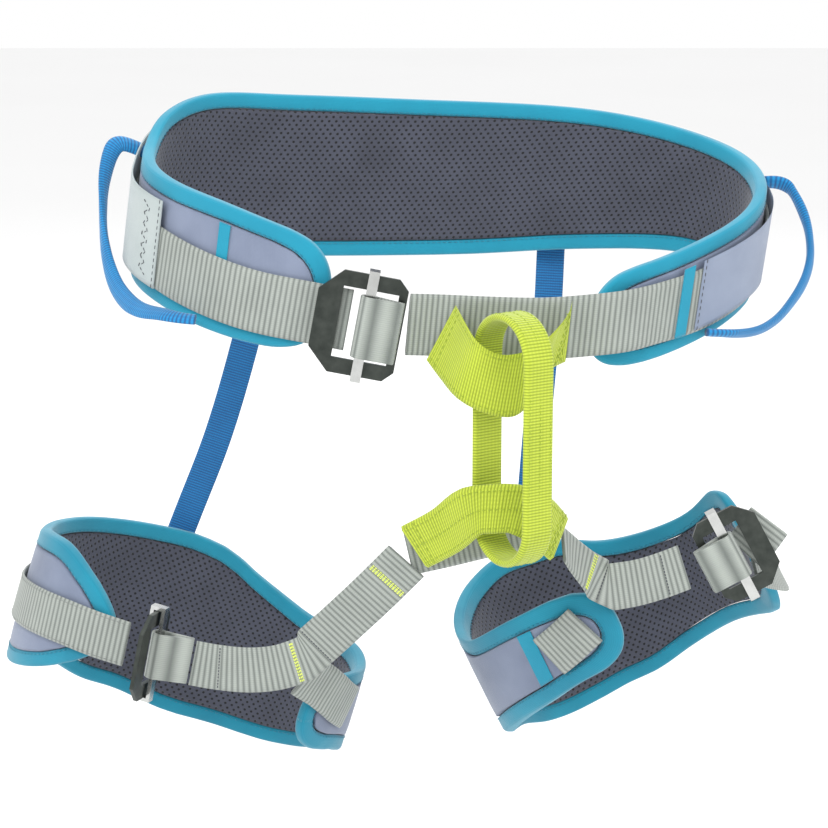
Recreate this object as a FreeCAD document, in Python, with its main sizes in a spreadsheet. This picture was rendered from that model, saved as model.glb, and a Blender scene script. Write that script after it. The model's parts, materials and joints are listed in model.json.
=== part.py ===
import FreeCAD, Part
import Sketcher
import math
import os

# Climbing harness. Millimetres. The origin is the centre of the waist opening, +X is the wearer's left,
# +Y is the wearer's back and +Z is up. Plan angles run from +X through the back (90) to the right (180).

DOC = FreeCAD.newDocument("ClimbingHarness")
SHEET = DOC.addObject("Spreadsheet::Sheet", "Sizes")

SIZES = {
    # padded waist band, in plan
    "waist_centre_x": -6.0, "waist_half_width": 181.0, "waist_half_depth": 90.0, "waist_squareness": 2.4,
    "waist_lean": 0.13,
    # padded leg bands, in plan
    "left_leg_centre_x": -167.0, "left_leg_half_width": 95.0, "left_leg_half_depth": 78.0,
    "left_leg_lean": 0.3,
    "right_leg_centre_x": 103.0, "right_leg_half_width": 81.0, "right_leg_half_depth": 82.0,
    "right_leg_lean": -0.48,
    "leg_centre_y": -5.0, "leg_centre_z": -250.0, "leg_squareness": 2.3,
    # padding, counted outward from the lining that touches the wearer
    "lining_thickness": 2.0, "foam_thickness": 4.0, "shell_thickness": 0.8, "layer_gap": 0.3,
    "binding_width": 10.0, "binding_overhang": 0.3,
    # straps
    "waist_webbing_width": 36.0, "leg_webbing_width": 28.0, "webbing_thickness": 2.0,
    "riser_width": 18.0, "riser_thickness": 1.4,
    "gear_tape_width": 12.0, "gear_tape_thickness": 3.0,
    "cover_thickness": 1.0, "keeper_width": 9.0, "keeper_thickness": 1.2,
    # tie-in points and belay loop
    "upper_loop_width": 36.0, "upper_loop_thickness": 3.0,
    "lower_sleeve_width": 29.0, "lower_sleeve_thickness": 4.0,
    "belay_webbing_width": 20.0, "belay_webbing_thickness": 4.2,
    "belay_depth": 52.8, "belay_height": 146.0, "belay_turn": -56.0,
    "belay_x": 29.0, "belay_y": -134.0, "belay_z": -91.0,
    # slide-block buckles
    "frame_thickness": 2.4, "frame_step": 2.0, "frame_side_rim": 9.0, "frame_heel_rim": 5.0,
    "frame_heel_chamfer": 6.0,
    "waist_frame_height": 60.0, "waist_frame_nose": 30.0, "waist_frame_heel": 21.0,
    "waist_frame_chamfer": 13.0,
    "leg_frame_height": 54.0, "leg_frame_nose": 23.0, "leg_frame_heel": 16.0, "leg_frame_chamfer": 10.0,
    "bar_width": 6.0, "bar_thickness": 2.2, "bar_slot": 5.0, "bar_hook": 5.0, "bar_side_gap": 0.4,
    "fold_gap": 0.4, "fold_reach": 20.0,
}

for row, (alias, value) in enumerate(SIZES.items(), start=1):
    SHEET.set("A%d" % row, alias)
    SHEET.set("B%d" % row, str(value))
    SHEET.setAlias("B%d" % row, alias)
DOC.recompute()


def size(alias):
    return float(SHEET.get(alias))


# spacing of the cross-sections: degrees of plan angle on the bands, millimetres along the straps
BAND_STEP = 5
PATCH_STEP = 2
STRAP_STEP = 5.0

PIECES = []


def keep(piece, label):
    """Name a finished sub-part; the label becomes its file name."""
    piece.Label = label
    PIECES.append(piece)
    return piece


def keep_shape(label, shape, origin):
    """Store a draped solid as its own object, drawn about its own origin and placed there."""
    local = shape.transformed(FreeCAD.Placement(origin.negative(), FreeCAD.Rotation()).Matrix, True)
    piece = DOC.addObject("Part::Feature", label)
    piece.Shape = local
    piece.Placement = FreeCAD.Placement(origin, FreeCAD.Rotation())
    return keep(piece, label)


def vector(x, y, z):
    return FreeCAD.Vector(x, y, z)


def smooth_rows(rows, position):
    """Value of a table of (position, value, value...) rows, joined by a smooth curve."""
    last = len(rows) - 2
    index = max(0, min(last, sum(1 for row in rows if row[0] <= position) - 1))
    before = rows[max(0, index - 1)]
    start = rows[index]
    end = rows[index + 1]
    after = rows[min(last + 1, index + 2)]
    span = end[0] - start[0]
    part = (position - start[0]) / span
    values = []
    for column in range(1, len(start)):
        leave = (end[column] - before[column]) / (end[0] - before[0])
        arrive = (after[column] - start[column]) / (after[0] - start[0])
        values.append(
            (2 * part**3 - 3 * part**2 + 1) * start[column]
            + (part**3 - 2 * part**2 + part) * span * leave
            + (3 * part**2 - 2 * part**3) * end[column]
            + (part**3 - part**2) * span * arrive
        )
    return values


class Band:
    """Padded band: a rounded oval in plan whose lower and upper edges rise and fall with the angle."""

    def __init__(self, centre, half_width, half_depth, squareness, lean, edges, tip_angle):
        self.centre = centre
        self.half_width = half_width
        self.half_depth = half_depth
        self.squareness = squareness
        self.lean = lean
        self.edges = edges
        self.start = edges[0][0]
        self.end = edges[-1][0]
        self.tip_angle = tip_angle

    def point(self, angle, out, height):
        """Point at a plan angle, a distance outside the lining face, at a height."""
        turn = math.radians(angle)
        power = 2.0 / self.squareness
        across = math.copysign(abs(math.cos(turn)) ** power, math.cos(turn))
        back = math.copysign(abs(math.sin(turn)) ** power, math.sin(turn))
        steep = self.squareness - 1
        normal_x = math.copysign(abs(across) ** steep, across) / self.half_width
        normal_y = math.copysign(abs(back) ** steep, back) / self.half_depth
        scale = out / math.hypot(normal_x, normal_y)
        low, high = smooth_rows(self.edges, angle)
        x = self.centre.x + self.half_width * across + normal_x * scale
        x += self.lean * (height - (low + high) / 2)
        y = self.centre.y + self.half_depth * back + normal_y * scale
        return vector(x, y, height)

    def limits(self, angle, inset):
        """Lower and upper edge at an angle, drawn in by the inset and rounded at both tips."""
        low, high = smooth_rows(self.edges, angle)
        inset_angle = math.degrees(inset / self.half_width)
        to_tip = min(angle - self.start, self.end - angle) - inset_angle
        into_tip = max(0.0, 1 - to_tip / self.tip_angle)
        round_off = (1 - min(into_tip, 0.995) ** 2.6) ** (1 / 2.6)
        half = ((high - low) / 2 - inset) * round_off
        middle = (low + high) / 2
        return middle - half, middle + half

    def section(self, angle, inner, outer, low, high):
        corners = [(inner, low), (outer, low), (outer, high), (inner, high)]
        points = [self.point(angle, out, height) for out, height in corners]
        return Part.makePolygon(points + points[:1])

    def layer(self, inner, outer, inset):
        """Solid sheet between two distances outside the lining face."""
        inset_angle = math.degrees(inset / self.half_width)
        start = self.start + inset_angle
        end = self.end - inset_angle
        wires = []
        for angle in crowded_angles(start, end, self.tip_angle):
            low, high = self.limits(angle, inset)
            wires.append(self.section(angle, inner, outer, low, high))
        return Part.makeLoft(wires, True, True)

    def strap_rows(self, out, heights):
        """Ribbon stations for a strap lying on the band; heights are rising (angle, middle height) rows."""
        first = heights[0][0]
        last = heights[-1][0]
        count = math.ceil((last - first) / 5)
        rows = []
        for index in range(count + 1):
            angle = first + (last - first) * index / count
            height = smooth_rows(heights, min(angle, last - 1e-6))[0]
            middle = self.point(angle, out, height)
            upper = self.point(angle, out, height + 1)
            rows.append((middle, upper - middle))
        return rows


def crowded_angles(start, end, tip_angle):
    """Angles from start to end, closer together over each rounded tip."""
    steps = [0.0, 0.015, 0.06, 0.15, 0.3, 0.55, 1.0]
    head = [start + tip_angle * step for step in steps]
    tail = [end - tip_angle * step for step in reversed(steps)]
    first = math.ceil((head[-1] + 1) / BAND_STEP)
    last = math.floor((tail[0] - 1) / BAND_STEP)
    between = [index * BAND_STEP for index in range(first, last + 1)]
    return head + between + tail


def even_rows(rows, spacing):
    """Ribbon stations at even spacing along a smooth curve through the given stations."""
    table = []
    travelled = 0.0
    for index, (middle, upward) in enumerate(rows):
        if index > 0:
            travelled += (middle - rows[index - 1][0]).Length
        unit = vector(*upward).normalize()
        table.append((travelled, *middle, *unit))
    count = math.ceil(travelled / spacing)
    even = []
    for index in range(count + 1):
        values = smooth_rows(table, travelled * index / count)
        even.append((vector(*values[:3]), vector(*values[3:])))
    return even


def ribbon(rows, width, thickness, slanted=False):
    """Strap through stations of (middle point, direction of its upper edge), cut square or slanted."""
    wires = []
    rows = even_rows(rows, STRAP_STEP)
    for index, (middle, upward) in enumerate(rows):
        ahead = rows[min(index + 1, len(rows) - 1)][0]
        behind = rows[max(index - 1, 0)][0]
        along = (ahead - behind).normalize()
        face = along.cross(upward).normalize()
        across = vector(*upward).normalize() if slanted else face.cross(along).normalize()
        side = across * (width / 2)
        depth = face * (thickness / 2)
        points = [middle - side - depth, middle + side - depth, middle + side + depth, middle - side + depth]
        wires.append(Part.makePolygon(points + points[:1]))
    return Part.makeLoft(wires, True, True)


def rows_from(table):
    """Ribbon stations from rows of x, y, z and the x, y, z direction of the upper edge."""
    return [(vector(*row[:3]), vector(*row[3:])) for row in table]


WAIST = Band(
    vector(size("waist_centre_x"), 0, 0),
    size("waist_half_width"), size("waist_half_depth"), size("waist_squareness"), size("waist_lean"),
    [(-68, -60, -6), (-56, -58, 2), (-40, -48, 14), (-20, -35, 27), (0, -27, 40), (35, -16, 58),
     (65, -18, 71), (90, -23, 76), (120, -22, 81), (145, -17, 84), (165, -14, 74), (180, -15, 58),
     (205, -26, 46), (225, -39, 36), (240, -47, 24), (252, -48, 12)],
    9,
)
LEFT_LEG = Band(
    vector(size("left_leg_centre_x"), size("leg_centre_y"), size("leg_centre_z")),
    size("left_leg_half_width"), size("left_leg_half_depth"), size("leg_squareness"), size("left_leg_lean"),
    [(-46, -302, -257), (-20, -312, -262), (0, -324, -268), (20, -334, -267), (38, -342, -264),
     (56, -344, -257), (68, -341, -246), (80, -335, -231), (90, -329, -214), (99, -321, -205),
     (112, -309, -198), (128, -298, -191), (145, -280, -185), (162, -265, -181), (180, -258, -177),
     (200, -255, -172), (220, -250, -173), (235, -244, -187), (250, -238, -205)],
    20,
)
RIGHT_LEG = Band(
    vector(size("right_leg_centre_x"), size("leg_centre_y"), size("leg_centre_z")),
    size("right_leg_half_width"), size("right_leg_half_depth"), size("leg_squareness"),
    size("right_leg_lean"),
    [(2, -236, -158), (20, -244, -162), (44, -258, -186), (66, -279, -203), (83, -298, -211),
     (96, -309, -210), (108, -318, -215), (124, -325, -220), (140, -326, -229), (158, -320, -237),
     (175, -315, -243), (190, -305, -244), (203, -294, -239), (230, -268, -216), (247, -250, -201),
     (266, -236, -186)],
    20,
)

FOAM_FACE = size("lining_thickness") + size("layer_gap")
SHELL_FACE = FOAM_FACE + size("foam_thickness") + size("layer_gap")
PAD_FACE = SHELL_FACE + size("shell_thickness")
KEEPER_FACE = PAD_FACE + size("layer_gap")
STRAP_FACE = KEEPER_FACE + size("keeper_thickness") + size("layer_gap")
STRAP_MIDDLE = STRAP_FACE + size("webbing_thickness") / 2
COVER_FACE = STRAP_FACE + size("webbing_thickness") + 2 * size("layer_gap")


def padded_band(name, band):
    """Lining, foam and shell of one band, and the binding tape sewn round their edges."""
    inset = size("binding_width")
    layers = {
        "lining": (0, size("lining_thickness")),
        "foam": (FOAM_FACE, FOAM_FACE + size("foam_thickness")),
        "shell": (SHELL_FACE, PAD_FACE),
    }
    for layer, (inner, outer) in layers.items():
        sheet = band.layer(inner, outer, inset + size("layer_gap"))
        keep_shape("%s_%s" % (name, layer), sheet, band.centre)
    overhang = size("binding_overhang")
    whole = band.layer(-overhang, PAD_FACE + overhang / 2, 0)
    window = band.layer(-4 * overhang, PAD_FACE + 4 * overhang, inset)
    keep_shape(name + "_binding", whole.cut(window), band.centre)


def band_patch(label, band, start, end, inner, thickness, inset):
    """Cover sewn over part of a band between two plan angles."""
    wires = []
    count = max(2, math.ceil(abs(end - start) / PATCH_STEP))
    for index in range(count + 1):
        angle = start + (end - start) * index / count
        low, high = band.limits(angle, inset)
        wires.append(band.section(angle, inner, inner + thickness, low, high))
    shape = Part.makeLoft(wires, True, True)
    keep_shape(label, shape, band.centre)


def keeper(label, band, angle, inner):
    """Narrow tape sewn across a band from one binding to the other."""
    half_angle = math.degrees(size("keeper_width") / 2 / band.half_width)
    band_patch(label, band, angle - half_angle, angle + half_angle, inner, size("keeper_thickness"),
               size("binding_width") + size("layer_gap"))


def strap(label, rows, width):
    keep_shape(label, ribbon(rows, width, size("webbing_thickness")), rows[0][0])


def waist_webbing():
    """Webbing from the left hip round the back and across the front to the buckle bar."""
    buckled = [(-64, -98.5, -29, 0.15, 0, 1), (-75, -98, -27, 0.15, 0, 1)]
    heights = [(-52, -27), (-42, -22), (-30, -14), (-15, -4), (0, 5), (15, 12), (30, 18), (45, 22),
               (60, 24), (90, 26), (120, 30), (150, 29), (165, 24), (180, 17), (195, 9), (210, -1),
               (225, -12), (237, -20), (246, -24)]
    front = [(96, -96.5, -30, 0, 0, 1), (76, -98, -32, 0, 0, 1), (50, -98, -34, 0, 0, 1),
             (20, -98, -33.5, 0, 0, 1), (-12, -98.5, -32, 0.05, 0, 1), (-30, -104, -30.5, 0.1, 0, 1)]
    rows = rows_from(buckled) + WAIST.strap_rows(STRAP_MIDDLE, heights)[::-1] + rows_from(front)
    strap("waist_webbing", rows, size("waist_webbing_width"))


def centred_rectangle(body, name, plane, width, height, rise=None):
    """Sketch of a rectangle centred on the plane's upright axis; sizes are sheet formulas."""
    sketch = body.newObject("Sketcher::SketchObject", name)
    for feature in body.Origin.OriginFeatures:
        if feature.Role == plane:
            sketch.AttachmentSupport = [(feature, "")]
    sketch.MapMode = "FlatFace"
    corners = [(-10, 1), (10, 1), (10, 20), (-10, 20)]
    if rise is None:
        corners = [(-10, -10), (10, -10), (10, 10), (-10, 10)]
    for index in range(4):
        start = vector(*corners[index], 0)
        end = vector(*corners[(index + 1) % 4], 0)
        sketch.addGeometry(Part.LineSegment(start, end), False)
    for index in range(4):
        sketch.addConstraint(Sketcher.Constraint("Coincident", index, 2, (index + 1) % 4, 1))
    for index in (1, 3):
        sketch.addConstraint(Sketcher.Constraint("Vertical", index))
    sketch.addConstraint(Sketcher.Constraint("Horizontal", 2))
    if rise is None:
        sketch.addConstraint(Sketcher.Constraint("Horizontal", 0))
        sketch.addConstraint(Sketcher.Constraint("Symmetric", 0, 1, 2, 1, -1, 1))
    else:
        sketch.addConstraint(Sketcher.Constraint("Symmetric", 0, 1, 0, 2, -2))
        sketch.addConstraint(Sketcher.Constraint("DistanceY", -1, 1, 0, 1, 1.0))
        sketch.renameConstraint(sketch.ConstraintCount - 1, "rise")
        sketch.setExpression("Constraints.rise", rise)
    sketch.addConstraint(Sketcher.Constraint("DistanceX", 0, 1, 0, 2, 20.0))
    sketch.renameConstraint(sketch.ConstraintCount - 1, "width")
    sketch.setExpression("Constraints.width", width)
    sketch.addConstraint(Sketcher.Constraint("DistanceY", 1, 1, 1, 2, 20.0))
    sketch.renameConstraint(sketch.ConstraintCount - 1, "height")
    sketch.setExpression("Constraints.height", height)
    DOC.recompute()
    return sketch


def add_feature(body, kind, name, sketch, length, midplane=True):
    """Pad or pocket of a sketch whose length is a sheet formula."""
    feature = body.newObject("PartDesign::" + kind, name)
    feature.Profile = sketch
    feature.setExpression("Length", length)
    feature.Midplane = midplane
    DOC.recompute()
    return feature


def edges_along(body, direction, accept):
    """Names of the straight edges parallel to a direction whose middle is accepted."""
    names = []
    for index, edge in enumerate(body.Tip.Shape.Edges, start=1):
        if len(edge.Vertexes) < 2:
            continue
        run = edge.Vertexes[1].Point - edge.Vertexes[0].Point
        if run.Length > 1e-6 and abs(abs(run.normalize().dot(direction)) - 1) < 1e-6:
            if accept(edge.BoundBox.Center):
                names.append("Edge%d" % index)
    return names


def soften(body, kind, name, edges, formula):
    """Chamfer or fillet the named edges by a sheet formula."""
    feature = body.newObject("PartDesign::" + kind, name)
    feature.Base = (body.Tip, edges) if body.Tip is not feature else (body.Group[-2], edges)
    feature.setExpression("Size" if kind == "Chamfer" else "Radius", formula)
    DOC.recompute()
    return feature


def buckle_frame(label, kind, place):
    """Flat slide-block frame: X along the bar, Y from the bar to the nose, Z out of the plate."""
    height, nose, heel = ["Sizes.%s_frame_%s" % (kind, part) for part in ("height", "nose", "heel")]
    body = DOC.addObject("PartDesign::Body", label)
    back = centred_rectangle(body, label + "_back", "XY_Plane", height, heel + " * 2")
    add_feature(body, "Pad", label + "_plate", back, "Sizes.frame_thickness")
    front = centred_rectangle(body, label + "_front", "XY_Plane", height,
                              nose + " - Sizes.frame_step", "Sizes.frame_step")
    add_feature(body, "Pad", label + "_nose_plate", front, "Sizes.frame_thickness")
    window = centred_rectangle(body, label + "_window", "XY_Plane", height + " - 2 * Sizes.frame_side_rim",
                               "2 * (" + heel + " - Sizes.frame_heel_rim)")
    add_feature(body, "Pocket", label + "_cutout", window, "Sizes.frame_thickness * 2")
    reach = size(kind + "_frame_nose") - 0.1
    up = vector(0, 0, 1)
    nose_edges = edges_along(body, up, lambda middle: middle.y > reach)
    soften(body, "Chamfer", label + "_nose", nose_edges, "Sizes.%s_frame_chamfer" % kind)
    tail = 0.1 - size(kind + "_frame_heel")
    heel_edges = edges_along(body, up, lambda middle: middle.y < tail)
    soften(body, "Chamfer", label + "_heel", heel_edges, "Sizes.frame_heel_chamfer")
    body.Placement = place
    return keep(body, label)


def buckle_bar(label, kind, place):
    """Bar across the frame's window, with a hook at each end that grips the frame's rim."""
    height = "Sizes.%s_frame_height" % kind
    body = DOC.addObject("PartDesign::Body", label)
    wide = height + " + 2 * Sizes.bar_side_gap + 2 * Sizes.bar_thickness"
    deep = "Sizes.bar_slot + 2 * Sizes.bar_thickness"
    outline = centred_rectangle(body, label + "_outline", "XZ_Plane", wide, deep)
    add_feature(body, "Pad", label + "_block", outline, "Sizes.bar_width")
    slot = centred_rectangle(body, label + "_slot", "XZ_Plane", height + " + 2 * Sizes.bar_side_gap",
                             "Sizes.bar_slot")
    add_feature(body, "Pocket", label + "_throat", slot, "Sizes.bar_width * 2")
    mouth = centred_rectangle(body, label + "_mouth", "XY_Plane", height + " - 2 * Sizes.bar_hook",
                              "Sizes.bar_width * 2")
    add_feature(body, "Pocket", label + "_opening", mouth, deep, False)
    body.Placement = place
    return keep(body, label)


def bar_axis(place):
    """Middle of the bar: it lies in front of the frame by half the hook's throat and its own half."""
    return place.multVec(vector(0, 0, (size("bar_slot") + size("bar_thickness")) / 2))


def strap_fold(label, place, towards, width):
    """Strap end turned round the bar: a tear-drop of one ply that closes on itself."""
    inner = math.hypot(size("bar_width"), size("bar_thickness")) / 2 + size("fold_gap")
    outer = inner + size("webbing_thickness")
    reach = size("fold_reach")
    side = -width / 2

    def tear_drop(radius, tip, half_tip):
        upper = vector(0, radius, side)
        lower = vector(0, -radius, side)
        arc = Part.Arc(upper, vector(-radius, 0, side), lower).toShape()
        edges = [arc, Part.makeLine(upper, vector(tip, half_tip, side)),
                 Part.makeLine(lower, vector(tip, -half_tip, side))]
        if half_tip > 0:
            edges.append(Part.makeLine(vector(tip, half_tip, side), vector(tip, -half_tip, side)))
        return Part.Face(Part.Wire(Part.__sortEdges__(edges))).extrude(vector(0, 0, width))

    solid = tear_drop(outer, reach, size("webbing_thickness")).cut(tear_drop(inner, reach - 5, 0))
    bar = place.Rotation.multVec(vector(1, 0, 0))
    x_axis = vector(*towards).normalize()
    y_axis = bar.cross(x_axis).normalize()
    turn = FreeCAD.Rotation(y_axis.cross(bar), y_axis, bar, "ZXY")
    piece = DOC.addObject("Part::Feature", label)
    piece.Shape = solid
    piece.Placement = FreeCAD.Placement(bar_axis(place), turn)
    return keep(piece, label)


def buckle_place(centre, nose, bar):
    """Placement whose X runs along the bar and whose Y runs towards the frame's nose."""
    x_axis = vector(*bar).normalize()
    z_axis = x_axis.cross(vector(*nose)).normalize()
    turn = FreeCAD.Rotation(x_axis, z_axis.cross(x_axis), z_axis, "XZY")
    return FreeCAD.Placement(vector(*centre), turn)


def belay_loop():
    """Sewn loop of thick webbing standing between the two tie-in points."""
    body = DOC.addObject("PartDesign::Body", "belay_loop")
    thickness = "2 * Sizes.belay_webbing_thickness"
    outer = centred_rectangle(body, "belay_outer", "XZ_Plane", "Sizes.belay_depth", "Sizes.belay_height")
    add_feature(body, "Pad", "belay_block", outer, "Sizes.belay_webbing_width")
    inner = centred_rectangle(body, "belay_inner", "XZ_Plane", "Sizes.belay_depth - " + thickness,
                              "Sizes.belay_height - " + thickness)
    add_feature(body, "Pocket", "belay_eye", inner, "Sizes.belay_webbing_width * 2")
    across = vector(0, 1, 0)
    half = size("belay_depth") / 2
    outside = edges_along(body, across, lambda middle: abs(middle.x) > half - 0.1)
    soften(body, "Fillet", "belay_outer_bends", outside, "Sizes.belay_depth / 2 - 0.5")
    inside = edges_along(body, across, lambda middle: abs(abs(middle.x) - half
                         + size("belay_webbing_thickness")) < 0.1)
    soften(body, "Fillet", "belay_inner_bends", inside,
           "Sizes.belay_depth / 2 - Sizes.belay_webbing_thickness - 0.5")
    turn = FreeCAD.Rotation(vector(0, 0, 1), size("belay_turn"))
    body.Placement = FreeCAD.Placement(vector(size("belay_x"), size("belay_y"), size("belay_z")), turn)
    return keep(body, "belay_loop")


def buckle(name, kind, place, strap_towards, width):
    """Frame, bar and the sewn strap end that holds them."""
    buckle_frame(name + "_frame", kind, place)
    buckle_bar(name + "_bar", kind, place)
    strap_fold(name + "_fold", place, strap_towards, width)


def waist_belt():
    padded_band("waist", WAIST)
    waist_webbing()
    cover = size("cover_thickness")
    inset = size("binding_width") + size("layer_gap")
    band_patch("waist_back_cover", WAIST, 32, 149, COVER_FACE, cover, inset)
    band_patch("hip_panel_left", WAIST, 151, 209, COVER_FACE, cover, inset)
    band_patch("hip_cover_right", WAIST, -43, 30, COVER_FACE, cover, inset)
    keeper("waist_keeper_left", WAIST, 228, KEEPER_FACE)
    keeper("waist_keeper_right", WAIST, -47, COVER_FACE)
    place = buckle_place((-54.5, -103, -31.5), (-1, 0, 0.19), (0.19, 0, 1))
    buckle("waist_buckle", "waist", place, (1, -0.14, -0.15), size("waist_webbing_width"))
    upper = [(-11, -105, -35, 0.46, 0, 0.88), (-4, -120, -43.5, 0.4, -0.15, 0.9),
             (3, -131, -51, 0.32, -0.15, 0.94), (13, -134, -57, 0.18, -0.1, 0.97),
             (26, -134.5, -60, 0, 0, 1), (38, -131, -57, 0.15, 0.05, 0.98),
             (47, -123, -49, 0.28, 0.05, 0.95), (55, -113.5, -39, 0.35, 0.05, 0.93),
             (62, -105.5, -34, 0.1, 0, 1)]
    shape = ribbon(rows_from(upper), size("upper_loop_width"), size("upper_loop_thickness"), slanted=True)
    keep_shape("upper_tie_in_loop", shape, vector(29, -134, -60))


def leg_bridge():
    sleeve = [(-26, -106, -162, -0.4, 0, 0.9), (-8, -117, -149, -0.35, 0, 0.93),
              (6, -128.5, -134.5, -0.2, 0, 0.98), (18, -132.5, -132, 0, 0, 1), (31, -134, -131.5, 0.05, 0, 1),
              (45, -126, -140, 0.35, 0.3, 0.9), (57, -111, -155, 0.5, 0.7, 0.5)]
    shape = ribbon(rows_from(sleeve), size("lower_sleeve_width"), size("lower_sleeve_thickness"))
    keep_shape("lower_tie_in_sleeve", shape, vector(29, -134, -132))
    width = size("leg_webbing_width")
    bridge = [(-30, -100, -167, -0.2, 0, 1), (-8, -100, -162, -0.2, 0, 1), (20, -100, -155, -0.2, 0, 1),
              (44, -100, -150, -0.2, 0, 1), (54, -99, -148, -0.2, 0, 1)]
    strap("leg_bridge_webbing", rows_from(bridge), width)
    left = [(-31, -104.5, -171, -0.65, 0, 0.75), (-51, -99, -193, -0.72, 0, 0.7),
            (-70, -93, -213, -0.7, 0, 0.72), (-86, -89, -229, -0.55, 0, 0.84)]
    strap("rise_strap_left", rows_from(left), width)
    right = [(60, -110, -159, 0.2, 0.95, 0.2), (67, -104, -168, 0.3, 0.9, 0.3),
             (76, -100, -178, 0.4, 0.8, 0.4), (82, -98, -184, 0.1, 0.4, 0.9)]
    strap("rise_strap_right", rows_from(right), width)


def left_leg_loop():
    padded_band("leg_left", LEFT_LEG)
    width = size("leg_webbing_width")
    front = [(-91, -88.5, -236, -0.1, 0, 1), (-107, -90, -241, -0.05, 0, 1), (-125, -92, -242, 0, 0, 1),
             (-145, -92, -240, 0.1, 0, 1), (-158, -92, -237.5, 0.15, 0, 1)]
    strap("leg_left_front_strap", rows_from(front), width)
    outer = LEFT_LEG.strap_rows(STRAP_MIDDLE, [(150, -226), (165, -220), (180, -217), (195, -215),
                                               (210, -214), (224, -215), (236, -218), (246, -222)])
    outer += rows_from([(-197, -92, -226, 0.2, 0, 1)])
    strap("leg_left_outer_strap", outer, width)
    tongue = LEFT_LEG.strap_rows(STRAP_MIDDLE, [(-44, -259), (-36, -268), (-28, -277), (-20, -284)])[::-1]
    tongue += rows_from([(-91, -83, -249, 0.6, 0.1, 0.7)])
    strap("leg_left_tongue_strap", tongue, width)
    place = buckle_place((-182, -93, -231), (-0.3, -0.93, 0.05), (0.2, 0, 1))
    buckle("leg_left_buckle", "leg", place, (1, 0, -0.2), width)


def right_leg_loop():
    padded_band("leg_right", RIGHT_LEG)
    width = size("leg_webbing_width")
    front = [(89, -97.5, -189, -0.35, 0.1, 0.93), (105, -95, -187, -0.3, 0, 0.95),
             (120, -91.5, -183.5, -0.3, 0, 0.95), (133, -88, -179.5, -0.35, 0, 0.93)]
    strap("leg_right_front_strap", rows_from(front), width)
    outer = rows_from([(176, -71.3, -182, -0.4, 0.1, 0.9), (188, -52, -190, -0.35, 0.1, 0.93)])
    outer += RIGHT_LEG.strap_rows(STRAP_MIDDLE, [(-12, -199), (5, -203), (20, -207), (35, -214), (50, -223)])
    strap("leg_right_outer_strap", outer, width)
    tail = [(170, -76, -174, -0.7, 0, 0.7), (178, -73, -165, -0.8, 0, 0.6), (185, -70, -156, -0.8, 0, 0.6)]
    strap("leg_right_strap_tail", rows_from(tail), width)
    tongue = RIGHT_LEG.strap_rows(STRAP_MIDDLE, [(239, -236), (246, -227), (256, -213)])
    strap("leg_right_tongue_strap", tongue, width)
    keeper("leg_right_keeper", RIGHT_LEG, 233, KEEPER_FACE)
    place = buckle_place((162, -82, -173.5), (0.88, 0.05, 0.47), (0.47, 0, -0.88))
    buckle("leg_right_buckle", "leg", place, (-0.87, -0.19, -0.46), width)


def risers():
    """Elastic straps from the back of the waist band to the back of each leg band."""
    left = [(-122, 98, -22, 1, 0, -0.2), (-136, 92, -80, 1, 0, -0.27), (-154, 86, -140, 1, 0, -0.33),
            (-176, 84, -196, 1, 0, -0.35)]
    right = [(62, 100, -22, 1, 0, 0), (60, 92, -60, 1, 0, 0.03), (54, 84, -130, 1, 0, 0.05),
             (48, 79, -208, 1, 0, 0.08)]
    for label, table in (("riser_left", left), ("riser_right", right)):
        rows = rows_from(table)
        keep_shape(label, ribbon(rows, size("riser_width"), size("riser_thickness")), rows[0][0])


def gear_loops():
    """Soft tape loops that stand out from each hip."""
    left = [(-198, 28, 52, 0, 1, 0), (-204, 21, 60, 0.1, 1, 0.1), (-210, 13, 57, 0.3, 0.9, 0.2),
            (-214, 4, 42, 0.6, 0.8, 0.1), (-215, -6, 21, 0.8, 0.6, 0), (-213, -16, 3, 0.8, 0.6, 0),
            (-208, -28, -13, 0.6, 0.7, 0.3), (-201, -44, -24, 0.3, 0.7, 0.6), (-190, -62, -29, 0, 0.5, 0.9),
            (-175, -77, -30, 0, 0.4, 1), (-160, -87, -27, 0, 0.3, 1)]
    right = [(194, 21.8, 34, 0, 1, 0), (199, 19, 37, -0.1, 1, 0.1), (204, 14, 30, -0.3, 0.9, 0.2),
             (211, 7, 17, -0.6, 0.8, 0.1), (215, -1, 2, -0.8, 0.6, 0), (213, -11, -13, -0.8, 0.6, 0),
             (206, -22, -25, -0.6, 0.7, 0.3), (195, -35, -36, -0.5, 0.7, 0.5),
             (181, -50, -44, -0.2, 0.6, 0.8), (166, -62, -44, 0, 0.4, 0.9), (152.3, -72.5, -38, 0, 0.3, 1)]
    for label, table in (("gear_loop_left", left), ("gear_loop_right", right)):
        rows = rows_from(table)
        shape = ribbon(rows, size("gear_tape_width"), size("gear_tape_thickness"))
        keep_shape(label, shape, rows[0][0])


def check_and_export():
    DOC.recompute()
    for item in DOC.Objects:
        if "Invalid" in item.State or "Error" in item.State:
            raise RuntimeError("%s did not rebuild: %s" % (item.Name, item.State))
    for piece in PIECES:
        shape = piece.Shape
        if shape.isNull() or not shape.isValid() or shape.Volume <= 0:
            raise RuntimeError("%s has no sound solid" % piece.Label)
    os.makedirs("parts", exist_ok=True)
    for piece in PIECES:
        piece.Shape.exportStep("parts/%s.step" % piece.Label)


waist_belt()
belay_loop()
leg_bridge()
left_leg_loop()
right_leg_loop()
risers()
gear_loops()
check_and_export()
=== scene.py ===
import json
import math

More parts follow.
